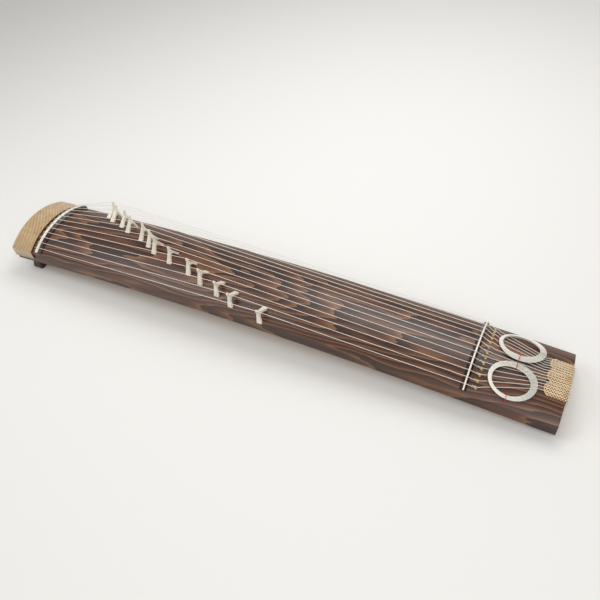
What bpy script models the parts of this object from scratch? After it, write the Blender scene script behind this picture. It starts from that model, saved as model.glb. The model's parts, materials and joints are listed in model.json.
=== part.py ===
"""Thirteen-string koto: hollow arched body, ridges, movable bridges, strings and tail coils.

Units are metres. +X runs from the head to the tail, +Y towards the player's side and +Z up.
The body is modelled along X with z = 0 on the soundboard's crown under either ridge, and then
stands on its feet, which are taller at the head than at the tail.
"""

import math

import bmesh
import bpy
from mathutils import Matrix, Vector

# Whole body
HEAD_MARGIN = 0.112
SCALE_LENGTH = 1.464
TAIL_MARGIN = 0.240
HEAD_WIDTH = 0.255
TAIL_WIDTH = 0.238
HEAD_ARCH_RADIUS = 0.232
TAIL_ARCH_RADIUS = 0.2215
CAMBER = 0.0227
HEAD_SIDE_DEPTH = 0.046
TAIL_SIDE_DEPTH = 0.040
GAP = 0.0003

# Shell, back board and inner pieces
TOP_THICKNESS = 0.014
SIDE_THICKNESS = 0.013
BACK_THICKNESS = 0.009
ARCH_FACETS = 12
BODY_STATIONS = 14
BLOCK_LENGTH = 0.030
BRACE_THICKNESS = 0.010
BRACE_HOLE_RADIUS = 0.016
HEAD_BRACE_OFFSET = 0.130
TAIL_BRACE_OFFSET = -0.035
END_PLATE_THICKNESS = 0.004
SOUND_HOLE_LENGTH = 0.085
SOUND_HOLE_WIDTH = 0.122
SOUND_HOLE_CORNER = 0.018
HEAD_SOUND_HOLE_OFFSET = 0.045
TAIL_SOUND_HOLE_OFFSET = 0.072

# Ridges
RIDGE_HEIGHT = 0.0145
RYUKAKU_SIDE_MARGIN = 0.003
RYUKAKU_FOOT_HEAD_SIDE = 0.010
RYUKAKU_FOOT_TAIL_SIDE = 0.015
RYUKAKU_INLAY_WIDTH = 0.0105
RYUKAKU_GROOVE_WIDTH = 0.0016
RYUKAKU_GROOVE_DEPTH = 0.0014
UNKAKU_SIDE_MARGIN = 0.0055
UNKAKU_FOOT_HEAD_SIDE = 0.011
UNKAKU_FOOT_TAIL_SIDE = 0.007
UNKAKU_INLAY_WIDTH = 0.0042
INLAY_THICKNESS = 0.0036
RIDGE_FACETS = 14

# Strings
STRING_COUNT = 13
STRING_RADIUS = 0.0007
STRING_SIDES_LEVEL = 0
HEAD_STRING_PITCH = 0.01928
TAIL_STRING_PITCH = 0.0176
RETURN_PITCH = 0.0085
RETURN_OFFSET = 0.0032
STRING_EDGE_MARGIN = 0.010
HEAD_HOLE_OFFSET = -0.024
HEAD_HOLE_RADIUS = 0.0022
KNOT_DEPTH = 0.009
KNOT_LENGTH = 0.005
KNOT_SCALE = 3.2
TAIL_KNOT_SCALE = 2.0
BEND_RADIUS = 0.002
SHALLOW_BEND = math.radians(25)
END_BEND_CLEARANCE = 0.0014
FAN_STEPS = 7
FAN_END_SHARE = 0.88

# Ferrules of the tail string holes
FERRULE_OFFSET = 0.027
FERRULE_FLANGE_RADIUS = 0.0042
FERRULE_FLANGE_HEIGHT = 0.0016
FERRULE_BARREL_RADIUS = 0.0028
FERRULE_BARREL_LENGTH = 0.009
FERRULE_BORE_RADIUS = 0.0018
FERRULE_STEPS = 8

# Bridges: places are distances from the ryukaku, string 1 (farthest from the player) first
BRIDGE_PLACES = (0.870, 0.765, 0.709, 0.641, 0.588, 0.505, 0.433, 0.398, 0.354, 0.283, 0.242, 0.185, 0.152)
BRIDGE_HEIGHT = 0.0522
BRIDGE_FOOT_SPAN = 0.052
BRIDGE_FOOT_WIDTH = 0.0085
BRIDGE_FOOT_THICKNESS = 0.016
BRIDGE_HEAD_WIDTH = 0.0070
BRIDGE_HEAD_THICKNESS = 0.0040
BRIDGE_WAIST_WIDTH = 0.0088
BRIDGE_WAIST_HEIGHT = 0.036
BRIDGE_CROTCH_HEIGHT = 0.024
BRIDGE_NOTCH_DEPTH = 0.0010
BRIDGE_NOTCH_HALF_WIDTH = 0.0018
NOTCH_CLEARANCE = 0.0012
BRIDGE_SOLE_EDGE = 0.0012
BRIDGE_LEG_POINTS = 5
BRIDGE_FLARE = 1.1
BRIDGE_ARCH = 1.8

# Feet
HEAD_FOOT_HEIGHT = 0.052
TAIL_FOOT_HEIGHT = 0.016
HEAD_FOOT_OFFSET = 0.045
TAIL_FOOT_OFFSET = -0.050
FOOT_SIDE_INSET = 0.030
HEAD_FOOT_TOP = (0.050, 0.040)
HEAD_FOOT_WAIST = (0.030, 0.026)
HEAD_FOOT_SOLE = (0.044, 0.034)
TAIL_FOOT_SIZE = (0.050, 0.032)
FOOT_CORNER = 0.004

# Head cover of brocade
COVER_THICKNESS = 0.0022
COVER_TAIL_EDGE = -0.031
COVER_SIDE_DROP = 0.030
COVER_STATIONS = 4

# Leaf pad of brocade at the tail end
PAD_THICKNESS = 0.0024
PAD_HALF_WIDTH = 0.060
PAD_LOBE_TIP = 0.184
PAD_CUSP_DEPTH = 0.014
PAD_LOBES = 3
PAD_LOBE_POINTS = 8
PAD_FOLD = 0.020

# Coils of spare string and their ties
COIL_CENTRE = 0.1073
COIL_HALF_LENGTH = 0.0632
COIL_HALF_WIDTH = 0.0525
COIL_SPACING = 0.0550
COIL_NARROW_BAND = 0.011
COIL_WIDE_BAND = 0.022
COIL_BOTTOM = 0.0041
COIL_THICKNESS = 0.009
COIL_STEPS = 24
COIL_SIDES = 8
TIE_RADIUS = 0.0009
TIE_STEPS = 14
MIDDLE_TIE_HALF_WIDTH = 0.017
NEAR_TIE_HALF_WIDTH = 0.0085

# Stations along the body, worked out from the lengths above
LENGTH = HEAD_MARGIN + SCALE_LENGTH + TAIL_MARGIN
HEAD_X = -LENGTH / 2
TAIL_X = LENGTH / 2
RYUKAKU_X = HEAD_X + HEAD_MARGIN
UNKAKU_X = TAIL_X - TAIL_MARGIN
FERRULE_X = UNKAKU_X + FERRULE_OFFSET
STRING_HEIGHT = RIDGE_HEIGHT + GAP + STRING_RADIUS
NOTCH_SIDE_LENGTH = math.hypot(BRIDGE_NOTCH_HALF_WIDTH, BRIDGE_NOTCH_DEPTH)
STRING_IN_NOTCH = (STRING_RADIUS + NOTCH_CLEARANCE) * NOTCH_SIDE_LENGTH / BRIDGE_NOTCH_HALF_WIDTH
NOTCH_STRING_HEIGHT = GAP + BRIDGE_HEIGHT - BRIDGE_NOTCH_DEPTH + STRING_IN_NOTCH
RETURN_HEIGHT = GAP + STRING_RADIUS
PAD_STRING_HEIGHT = GAP + PAD_THICKNESS + GAP + STRING_RADIUS
MIDDLE_STRING = (STRING_COUNT + 1) // 2

# Colours: red, green, blue, then roughness and metallic value
FINISHES = {
    "burnt_paulownia": ((0.15, 0.065, 0.030), 0.55, 0.0),
    "plain_paulownia": ((0.45, 0.30, 0.17), 0.65, 0.0),
    "rosewood": ((0.045, 0.018, 0.012), 0.35, 0.0),
    "ivory_white": ((0.83, 0.78, 0.66), 0.35, 0.0),
    "string_fibre": ((0.80, 0.77, 0.68), 0.50, 0.0),
    "ferrule_brass": ((0.80, 0.62, 0.30), 0.30, 1.0),
    "brocade": ((0.55, 0.36, 0.16), 0.60, 0.0),
    "red_thread": ((0.55, 0.02, 0.05), 0.60, 0.0),
}


# Shape of the board

def mix(first, last, share):
    """Value at a share of the way from first to last."""
    return first + (last - first) * share


def scale_share(x):
    """Place along the sounding length: 0 at the ryukaku, 1 at the unkaku."""
    return (x - RYUKAKU_X) / SCALE_LENGTH


def arch_radius(x):
    """Radius of the soundboard's cross arch."""
    return mix(HEAD_ARCH_RADIUS, TAIL_ARCH_RADIUS, scale_share(x))


def camber(x):
    """Height of the lengthwise arch over the line between the ridges."""
    share = scale_share(x)
    return 4 * CAMBER * share * (1 - share)


def half_width(x):
    """Half the body's width."""
    return mix(HEAD_WIDTH, TAIL_WIDTH, (x - HEAD_X) / LENGTH) / 2


def edge_height(x):
    """Height of the line where the arch meets the side wall."""
    radius = arch_radius(x)
    return camber(x) - radius + math.sqrt(radius ** 2 - half_width(x) ** 2)


def underside(x):
    """Height of the flat underside."""
    return edge_height(x) - mix(HEAD_SIDE_DEPTH, TAIL_SIDE_DEPTH, (x - HEAD_X) / LENGTH)


def on_board(x, across, height=0.0):
    """Point at an arc length from the crown line and a height over the board."""
    radius = arch_radius(x)
    angle = across / radius
    return Vector((x, (radius + height) * math.sin(angle), (radius + height) * math.cos(angle) - radius + camber(x)))


def arch_half_length(x):
    """Arc length from the crown to the board's edge."""
    radius = arch_radius(x)
    return radius * math.asin(half_width(x) / radius)


def string_across(number, x):
    """Arc length from the crown to a string where it crosses the station x."""
    pitch = mix(HEAD_STRING_PITCH, TAIL_STRING_PITCH, scale_share(x))
    return (number - MIDDLE_STRING) * pitch


# Mesh helpers

def spread(first, last, steps):
    """Evenly spaced values, both ends included."""
    return [mix(first, last, step / steps) for step in range(steps + 1)]


def material(name):
    """Material of a finish, made on first use."""
    found = bpy.data.materials.get(name)
    if found:
        return found
    colour, roughness, metallic = FINISHES[name]
    made = bpy.data.materials.new(name)
    made.use_nodes = True
    shader = made.node_tree.nodes["Principled BSDF"]
    shader.inputs["Base Color"].default_value = (*colour, 1.0)
    shader.inputs["Roughness"].default_value = roughness
    shader.inputs["Metallic"].default_value = metallic
    return made


def add_object(name, data, finish, collection="koto"):
    """Object of a mesh or curve, with its finish, in a collection."""
    made = bpy.data.objects.new(name, data)
    data.materials.append(material(finish))
    bpy.data.collections[collection].objects.link(made)
    return made


def mesh_from(bm, name):
    """Mesh of a bmesh, its faces turned outwards."""
    bmesh.ops.recalc_face_normals(bm, faces=bm.faces)
    mesh = bpy.data.meshes.new(name)
    bm.to_mesh(mesh)
    bm.free()
    return mesh


def loft(name, rings, finish, closed=False):
    """Solid through rings of equal point counts, capped at both ends or closed on itself."""
    bm = bmesh.new()
    rows = [[bm.verts.new(point) for point in ring] for ring in rings]
    following = rows[1:] + rows[:1] if closed else rows[1:]
    for row, other in zip(rows, following):
        for index in range(len(row)):
            after = (index + 1) % len(row)
            bm.faces.new((row[index], row[after], other[after], other[index]))
    if not closed:
        bm.faces.new(rows[0][::-1])
        bm.faces.new(rows[-1])
    return add_object(name, mesh_from(bm, name), finish)


def cut(target, cutter):
    """Takes a cutter's volume out of a piece."""
    modifier = target.modifiers.new("cut_" + cutter.name, "BOOLEAN")
    modifier.operation = "DIFFERENCE"
    modifier.object = cutter


def add_cutter(name, bm):
    """Cutter object, hidden from renders."""
    made = bpy.data.objects.new(name, mesh_from(bm, name))
    bpy.data.collections["koto_cutters"].objects.link(made)
    made.display_type = "WIRE"
    made.hide_render = True
    return made


def tube(name, points, radii, finish, sides_level=STRING_SIDES_LEVEL, cyclic=False):
    """Round cord through points, with a radius at each."""
    curve = bpy.data.curves.new(name, "CURVE")
    curve.dimensions = "3D"
    curve.bevel_depth = 1.0
    curve.bevel_resolution = sides_level
    curve.use_fill_caps = not cyclic
    curve.resolution_u = 1
    curve.render_resolution_u = 0
    spline = curve.splines.new("POLY")
    spline.points.add(len(points) - 1)
    spline.use_cyclic_u = cyclic
    for target, point, radius in zip(spline.points, points, radii):
        target.co = (*point, 1.0)
        target.radius = radius
    return add_object(name, curve, finish)


def round_corners(points, radius):
    """Path with each sharp inner corner cut back into a three-point bend."""
    path = [points[0]]
    for before, corner, after in zip(points, points[1:], points[2:]):
        if (corner - before).angle(after - corner) < SHALLOW_BEND:
            path.append(corner)
            continue
        reach_in = min(radius, (before - corner).length * 0.4)
        reach_out = min(radius, (after - corner).length * 0.4)
        entry = corner + (before - corner).normalized() * reach_in
        leave = corner + (after - corner).normalized() * reach_out
        path += [entry, (entry + leave) / 4 + corner / 2, leave]
    return path + [points[-1]]


# Body

def arch_points(x, half_span, lift, facets=ARCH_FACETS):
    """Points over the arch at a height over the board, from -Y to +Y."""
    radius = arch_radius(x) + lift
    limit = math.asin(half_span / radius)
    drop = camber(x) - arch_radius(x)
    return [Vector((x, radius * math.sin(angle), radius * math.cos(angle) + drop))
            for angle in spread(-limit, limit, facets)]


def shell_ring(x):
    """Section of the hollowed log: arched top with a wall down each side, open below."""
    outer, inner = half_width(x), half_width(x) - SIDE_THICKNESS
    low = underside(x)
    outside = [Vector((x, -outer, low)), *arch_points(x, outer, 0.0), Vector((x, outer, low))]
    inside = [Vector((x, inner, low)), *reversed(arch_points(x, inner, -TOP_THICKNESS)), Vector((x, -inner, low))]
    return outside + inside


def cavity_ring(x):
    """Section that fills the hollow between the shell and the back board."""
    inner = half_width(x) - SIDE_THICKNESS - GAP
    low = underside(x) + BACK_THICKNESS + GAP
    return [Vector((x, -inner, low)), *arch_points(x, inner, -TOP_THICKNESS - GAP), Vector((x, inner, low))]


def outer_ring(x, face_x):
    """Full outer section of the station x, placed at face_x."""
    outer, low = half_width(x), underside(x)
    ring = [Vector((x, -outer, low)), *arch_points(x, outer, 0.0), Vector((x, outer, low))]
    return [Vector((face_x, point.y, point.z)) for point in ring]


def board_matrix(x, across, height=0.0):
    """Frame on the board: x along the crown line, z away from the arch."""
    lean = Matrix.Rotation(-across / arch_radius(x), 4, "X")
    return Matrix.Translation(on_board(x, across, height)) @ lean


def make_shell():
    """Arched shell with its thirteen string holes at either end."""
    rings = [shell_ring(x) for x in spread(HEAD_X, TAIL_X, BODY_STATIONS)]
    shell = loft("soundboard_shell", rings, "burnt_paulownia")
    bm = bmesh.new()
    holes = ((RYUKAKU_X + HEAD_HOLE_OFFSET, HEAD_HOLE_RADIUS), (FERRULE_X, FERRULE_BARREL_RADIUS + GAP))
    for x, radius in holes:
        for number in range(1, STRING_COUNT + 1):
            place = board_matrix(x, string_across(number, x), -TOP_THICKNESS / 2)
            bmesh.ops.create_cone(bm, cap_ends=True, segments=FERRULE_STEPS, radius1=radius, radius2=radius,
                                  depth=TOP_THICKNESS * 2, matrix=place)
    cut(shell, add_cutter("string_holes", bm))


def make_back_board():
    """Back board between the side walls, with a sound hole near either end."""
    rings = []
    for x in spread(HEAD_X, TAIL_X, BODY_STATIONS):
        inner, low = half_width(x) - SIDE_THICKNESS - GAP, underside(x)
        high = low + BACK_THICKNESS
        rings.append([Vector((x, -inner, low)), Vector((x, inner, low)),
                      Vector((x, inner, high)), Vector((x, -inner, high))])
    back = loft("back_board", rings, "plain_paulownia")
    centres = {"head": RYUKAKU_X + HEAD_SOUND_HOLE_OFFSET, "tail": UNKAKU_X + TAIL_SOUND_HOLE_OFFSET}
    for end, x in centres.items():
        bm = bmesh.new()
        size = Matrix.Diagonal((SOUND_HOLE_LENGTH, SOUND_HOLE_WIDTH, BACK_THICKNESS * 4, 1.0))
        middle = Matrix.Translation((x, 0, underside(x) + BACK_THICKNESS / 2))
        bmesh.ops.create_cube(bm, size=1.0, matrix=middle @ size)
        upright = [edge for edge in bm.edges if abs(edge.verts[0].co.z - edge.verts[1].co.z) > BACK_THICKNESS]
        bmesh.ops.bevel(bm, geom=upright, offset=SOUND_HOLE_CORNER, segments=5, profile=0.5, affect="EDGES")
        cut(back, add_cutter(end + "_sound_hole", bm))


def make_inner_pieces():
    """End blocks, cross braces and the rosewood facing of the head's end."""
    loft("head_block", [cavity_ring(x) for x in (HEAD_X, HEAD_X + BLOCK_LENGTH)], "plain_paulownia")
    loft("tail_block", [cavity_ring(x) for x in (TAIL_X - BLOCK_LENGTH, TAIL_X)], "plain_paulownia")
    places = {"head_brace": RYUKAKU_X + HEAD_BRACE_OFFSET, "tail_brace": UNKAKU_X + TAIL_BRACE_OFFSET}
    for name, x in places.items():
        brace = loft(name, [cavity_ring(x), cavity_ring(x + BRACE_THICKNESS)], "plain_paulownia")
        bm = bmesh.new()
        centre = (x + BRACE_THICKNESS / 2, 0, (camber(x) - TOP_THICKNESS + underside(x) + BACK_THICKNESS) / 2)
        place = Matrix.Translation(centre) @ Matrix.Rotation(math.pi / 2, 4, "Y")
        bmesh.ops.create_cone(bm, cap_ends=True, segments=20, radius1=BRACE_HOLE_RADIUS,
                              radius2=BRACE_HOLE_RADIUS, depth=BRACE_THICKNESS * 3, matrix=place)
        cut(brace, add_cutter(name + "_hole", bm))
    faces = (HEAD_X - GAP - END_PLATE_THICKNESS, HEAD_X - GAP)
    loft("head_end_plate", [outer_ring(HEAD_X, face) for face in faces], "rosewood")


# Ridges

def arched_bar(name, station, profile, half_span, finish):
    """Bar bent over the board: a profile of (along, height) points carried across the arch."""
    rings = [[on_board(station + along, across, height) for along, height in profile]
             for across in spread(-half_span, half_span, RIDGE_FACETS)]
    loft(name, rings, finish)


def ridge_profile(head_side, tail_side, inlay_width):
    """Rosewood base: broad foot, hollowed flanks and a flat top as wide as the inlay."""
    top = RIDGE_HEIGHT - INLAY_THICKNESS - GAP
    half = inlay_width / 2 + 0.0006
    return [(-head_side, GAP), (tail_side, GAP), (tail_side - 0.0010, top * 0.35), (mix(half, tail_side, 0.35), top * 0.72),
            (half, top), (-half, top), (-mix(half, head_side, 0.35), top * 0.72), (-head_side + 0.0010, top * 0.35)]


def inlay_profile(width, groove_width=0.0, groove_depth=0.0):
    """Ivory strip with rounded shoulders and, if it has one, a groove along its middle."""
    low, high = RIDGE_HEIGHT - INLAY_THICKNESS, RIDGE_HEIGHT
    half, shoulder = width / 2, width * 0.15
    profile = [(-half, low), (half, low), (half, high - shoulder), (half - shoulder, high)]
    if groove_width:
        side = groove_width / 2
        profile += [(side, high), (side, high - groove_depth), (-side, high - groove_depth), (-side, high)]
    return profile + [(shoulder - half, high), (-half, high - shoulder)]


def make_ridges():
    """Ryukaku with its double inlay and unkaku with its single one."""
    head_span = arch_half_length(RYUKAKU_X) - RYUKAKU_SIDE_MARGIN
    tail_span = arch_half_length(UNKAKU_X) - UNKAKU_SIDE_MARGIN
    base = ridge_profile(RYUKAKU_FOOT_HEAD_SIDE, RYUKAKU_FOOT_TAIL_SIDE, RYUKAKU_INLAY_WIDTH)
    arched_bar("ryukaku_base", RYUKAKU_X, base, head_span, "rosewood")
    inlay = inlay_profile(RYUKAKU_INLAY_WIDTH, RYUKAKU_GROOVE_WIDTH, RYUKAKU_GROOVE_DEPTH)
    arched_bar("ryukaku_inlay", RYUKAKU_X, inlay, head_span, "ivory_white")
    base = ridge_profile(UNKAKU_FOOT_HEAD_SIDE, UNKAKU_FOOT_TAIL_SIDE, UNKAKU_INLAY_WIDTH)
    arched_bar("unkaku_base", UNKAKU_X, base, tail_span, "rosewood")
    arched_bar("unkaku_inlay", UNKAKU_X, inlay_profile(UNKAKU_INLAY_WIDTH), tail_span, "ivory_white")


# Bridges

def bridge_chains():
    """Outer and inner edge of half a bridge, from its notch to its foot, as (across, height) points.

    A narrow notched head runs down to a waist, and a leg spreads from it to a flat foot.
    """
    foot_out, foot_in = BRIDGE_FOOT_SPAN / 2, BRIDGE_FOOT_SPAN / 2 - BRIDGE_FOOT_WIDTH
    head, waist, notch = BRIDGE_HEAD_WIDTH / 2, BRIDGE_WAIST_WIDTH / 2, BRIDGE_NOTCH_DEPTH
    outer = [(BRIDGE_NOTCH_HALF_WIDTH, BRIDGE_HEIGHT), (head - notch, BRIDGE_HEIGHT), (head, BRIDGE_HEIGHT - notch),
             (head * 0.92, BRIDGE_HEIGHT - 4 * notch), (waist, BRIDGE_WAIST_HEIGHT)]
    inner = [(0.0, height) for height in spread(BRIDGE_HEIGHT - notch, BRIDGE_CROTCH_HEIGHT, len(outer) - 1)]
    for share in spread(0.0, 1.0, BRIDGE_LEG_POINTS)[1:-1]:
        outer.append((mix(waist, foot_out, share ** BRIDGE_FLARE), BRIDGE_WAIST_HEIGHT * (1 - share)))
        inner.append((foot_in * share ** BRIDGE_FLARE, BRIDGE_CROTCH_HEIGHT * (1 - share ** BRIDGE_ARCH)))
    outer += [(foot_out, BRIDGE_SOLE_EDGE), (foot_out - BRIDGE_SOLE_EDGE / 2, 0.0)]
    inner += [(foot_in, BRIDGE_SOLE_EDGE), (foot_in, 0.0)]
    return outer, inner


def bridge_mesh():
    """Bridge in its own frame: one half, mirrored across, its sole fitted to the board's arch."""
    radius = (HEAD_ARCH_RADIUS + TAIL_ARCH_RADIUS) / 2
    bm = bmesh.new()

    def row(chain, side):
        verts = []
        for across, height in chain:
            thickness = mix(BRIDGE_FOOT_THICKNESS, BRIDGE_HEAD_THICKNESS, height / BRIDGE_HEIGHT)
            sole = math.sqrt(radius ** 2 - across ** 2) - radius
            verts.append(bm.verts.new((side * thickness / 2, across, height + sole * (1 - height / BRIDGE_HEIGHT))))
        return verts

    outer_chain, inner_chain = bridge_chains()
    crotch = inner_chain.index((0.0, BRIDGE_CROTCH_HEIGHT))
    outer = [row(outer_chain, side) for side in (-1, 1)]
    inner = [row(inner_chain, side) for side in (-1, 1)]
    last = len(outer_chain) - 1
    for index in range(last):
        for out, into in zip(outer, inner):
            bm.faces.new((out[index], out[index + 1], into[index + 1], into[index]))
        bm.faces.new((outer[0][index], outer[0][index + 1], outer[1][index + 1], outer[1][index]))
        if index >= crotch:
            bm.faces.new((inner[0][index], inner[0][index + 1], inner[1][index + 1], inner[1][index]))
    for index in (0, last):
        bm.faces.new((outer[0][index], inner[0][index], inner[1][index], outer[1][index]))
    half = bm.verts[:] + bm.edges[:] + bm.faces[:]
    bmesh.ops.mirror(bm, geom=half, axis="Y", merge_dist=0.00005)
    mesh = mesh_from(bm, "bridge")
    mesh.materials.append(material("ivory_white"))
    return mesh


def bridge_frame(number):
    """Place of a bridge: under its string, along it, and square to the board."""
    x = RYUKAKU_X + BRIDGE_PLACES[number - 1]
    step = 0.001
    foot = on_board(x, string_across(number, x), GAP)
    along = (on_board(x + step, string_across(number, x + step), GAP) - foot).normalized()
    up = (on_board(x, string_across(number, x), 2 * GAP) - foot).normalized()
    across = up.cross(along).normalized()
    up = along.cross(across)
    frame = Matrix((along, across, up)).transposed().to_4x4()
    return Matrix.Translation(foot) @ frame


def make_bridges():
    """Thirteen bridges that share one mesh, each standing at its own place."""
    mesh = bridge_mesh()
    for number in range(1, STRING_COUNT + 1):
        bridge = bpy.data.objects.new(f"bridge_{number:02d}", mesh)
        bpy.data.collections["koto"].objects.link(bridge)
        bridge.matrix_world = bridge_frame(number)


# Strings

def make_ferrules():
    """Flanged eyelets in the tail's string holes, turned from one profile."""
    flange, barrel, bore = FERRULE_FLANGE_RADIUS, FERRULE_BARREL_RADIUS, FERRULE_BORE_RADIUS
    top, low = GAP + FERRULE_FLANGE_HEIGHT, -FERRULE_BARREL_LENGTH
    profile = [(bore, top * 0.8), (mix(bore, flange, 0.4), top), (flange, top * 0.5), (flange, GAP),
               (barrel, GAP), (barrel, low), (bore, low)]
    bm = bmesh.new()
    points = [bm.verts.new((radius, 0.0, height)) for radius, height in profile]
    for first, second in zip(points, points[1:] + points[:1]):
        bm.edges.new((first, second))
    mesh = bpy.data.meshes.new("ferrule")
    bm.to_mesh(mesh)
    bm.free()
    mesh.materials.append(material("ferrule_brass"))
    for number in range(1, STRING_COUNT + 1):
        ferrule = bpy.data.objects.new(f"string_hole_ferrule_{number:02d}", mesh)
        bpy.data.collections["koto"].objects.link(ferrule)
        ferrule.matrix_world = board_matrix(FERRULE_X, string_across(number, FERRULE_X))
        screw = ferrule.modifiers.new("turn", "SCREW")
        screw.axis = "Z"
        screw.steps = FERRULE_STEPS
        screw.render_steps = FERRULE_STEPS
        screw.use_merge_vertices = True
        screw.merge_threshold = 0.00005


def sounding_route(number):
    """String from its knot under the head, over both ridges and its bridge, into the ferrule."""
    hole_x = RYUKAKU_X + HEAD_HOLE_OFFSET
    bridge_x = RYUKAKU_X + BRIDGE_PLACES[number - 1]
    ryukaku_reach = RYUKAKU_INLAY_WIDTH / 2 + BEND_RADIUS
    unkaku_reach = UNKAKU_INLAY_WIDTH / 2 + BEND_RADIUS
    stops = [(hole_x, -TOP_THICKNESS - KNOT_DEPTH), (hole_x, -TOP_THICKNESS), (hole_x, GAP),
             (RYUKAKU_X - ryukaku_reach, STRING_HEIGHT), (RYUKAKU_X + ryukaku_reach, STRING_HEIGHT),
             (bridge_x, NOTCH_STRING_HEIGHT),
             (UNKAKU_X - unkaku_reach, STRING_HEIGHT), (UNKAKU_X + unkaku_reach, STRING_HEIGHT),
             (FERRULE_X, GAP + FERRULE_FLANGE_HEIGHT + STRING_RADIUS),
             (FERRULE_X, -TOP_THICKNESS)]
    return [on_board(x, string_across(number, x), height) for x, height in stops]


def return_route(number):
    """String from inside the tail, out of the sound hole, round the tail end and back to its knot."""
    row = number - MIDDLE_STRING
    side = row * RETURN_PITCH
    edge_x = UNKAKU_X + TAIL_SOUND_HOLE_OFFSET + SOUND_HOLE_LENGTH / 2 - STRING_EDGE_MARGIN
    round_x = TAIL_X + PAD_STRING_HEIGHT + END_BEND_CLEARANCE
    below = GAP + STRING_RADIUS
    knot_across = string_across(number, FERRULE_X) + RETURN_OFFSET
    over_flange = GAP + FERRULE_FLANGE_HEIGHT + GAP + 2 * STRING_RADIUS
    fall_x = UNKAKU_X + COIL_CENTRE + COIL_HALF_LENGTH + GAP
    return [Vector((edge_x, side, underside(edge_x) + BACK_THICKNESS + 0.002)),
            Vector((edge_x, side, underside(edge_x) - below - GAP)),
            Vector((round_x, side, underside(TAIL_X) - below - END_BEND_CLEARANCE)),
            Vector((round_x, side, on_board(TAIL_X, side, PAD_STRING_HEIGHT + END_BEND_CLEARANCE).z)),
            on_board(UNKAKU_X + PAD_LOBE_TIP, side, PAD_STRING_HEIGHT + GAP),
            *[on_board(mix(fall_x, FERRULE_X, share), mix(side, knot_across, share), RETURN_HEIGHT)
              for share in spread(0.0, FAN_END_SHARE, FAN_STEPS)],
            on_board(FERRULE_X + FERRULE_FLANGE_RADIUS + BEND_RADIUS, knot_across, over_flange),
            on_board(FERRULE_X - FERRULE_FLANGE_RADIUS, knot_across, over_flange),
            on_board(FERRULE_X - 0.010, knot_across - 0.0003, 0.0065)]


def make_strings():
    """Thirteen strings, each one cord with a knot at the head and one behind the unkaku."""
    for number in range(1, STRING_COUNT + 1):
        path = round_corners(sounding_route(number) + return_route(number), BEND_RADIUS)
        below = path[0] - Vector((0, 0, KNOT_LENGTH))
        path = [below, below.lerp(path[0], 0.5), *path]
        radii = [STRING_RADIUS] * len(path)
        radii[0] = STRING_RADIUS * KNOT_SCALE * 0.6
        radii[1] = STRING_RADIUS * KNOT_SCALE
        radii[-1] = STRING_RADIUS * TAIL_KNOT_SCALE * 0.7
        tube(f"string_{number:02d}", path, radii, "string_fibre")


# Feet

def foot_ring(x, y, size, height_of):
    """Rectangle with cut corners round a foot's axis."""
    half_x, half_y = size[0] / 2, size[1] / 2
    corners = []
    for sign_x, sign_y, swap in ((1, 1, False), (-1, 1, True), (-1, -1, False), (1, -1, True)):
        first, second = (FOOT_CORNER, 0.0), (0.0, FOOT_CORNER)
        if not swap:
            first, second = second, first
        for cut_x, cut_y in (first, second):
            corners.append((x + sign_x * (half_x - cut_x), y + sign_y * (half_y - cut_y)))
    return [Vector((px, py, height_of(px))) for px, py in corners]


def ground_line():
    """Ground in the body's frame, as its height at the head foot and its slope."""
    head_x, tail_x = HEAD_X + HEAD_FOOT_OFFSET, TAIL_X + TAIL_FOOT_OFFSET
    head_z, tail_z = underside(head_x) - HEAD_FOOT_HEIGHT, underside(tail_x) - TAIL_FOOT_HEIGHT
    return head_x, head_z, (tail_z - head_z) / (tail_x - head_x)


def ground(x):
    """Height of the ground in the body's frame."""
    start, height, slope = ground_line()
    return height + slope * (x - start)


def make_feet():
    """Two waisted feet under the head and two low ones under the tail."""
    for side, name in ((-1, "first_string"), (1, "player")):
        x = HEAD_X + HEAD_FOOT_OFFSET
        y = side * (half_width(x) - FOOT_SIDE_INSET)
        rings = [foot_ring(x, y, size, lambda px, at=share: mix(ground(px), underside(px) - GAP, at))
                 for size, share in ((HEAD_FOOT_SOLE, 0.0), (HEAD_FOOT_SOLE, 0.12), (HEAD_FOOT_WAIST, 0.55),
                                     (HEAD_FOOT_TOP, 0.90), (HEAD_FOOT_TOP, 1.0))]
        loft(f"head_foot_{name}_side", rings, "rosewood")
        x = TAIL_X + TAIL_FOOT_OFFSET
        y = side * (half_width(x) - FOOT_SIDE_INSET)
        rings = [foot_ring(x, y, TAIL_FOOT_SIZE, lambda px, at=share: mix(ground(px), underside(px) - GAP, at))
                 for share in (0.0, 1.0)]
        loft(f"tail_foot_{name}_side", rings, "rosewood")


# Soft trim

def cover_row(x, face_x):
    """Line of the head cover over the board and part of the way down both sides."""
    inner = half_width(x) + GAP
    low = edge_height(x) - COVER_SIDE_DROP
    row = [Vector((x, -inner, low)), *arch_points(x, inner, GAP), Vector((x, inner, low))]
    return [Vector((face_x, point.y, point.z)) for point in row]


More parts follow.
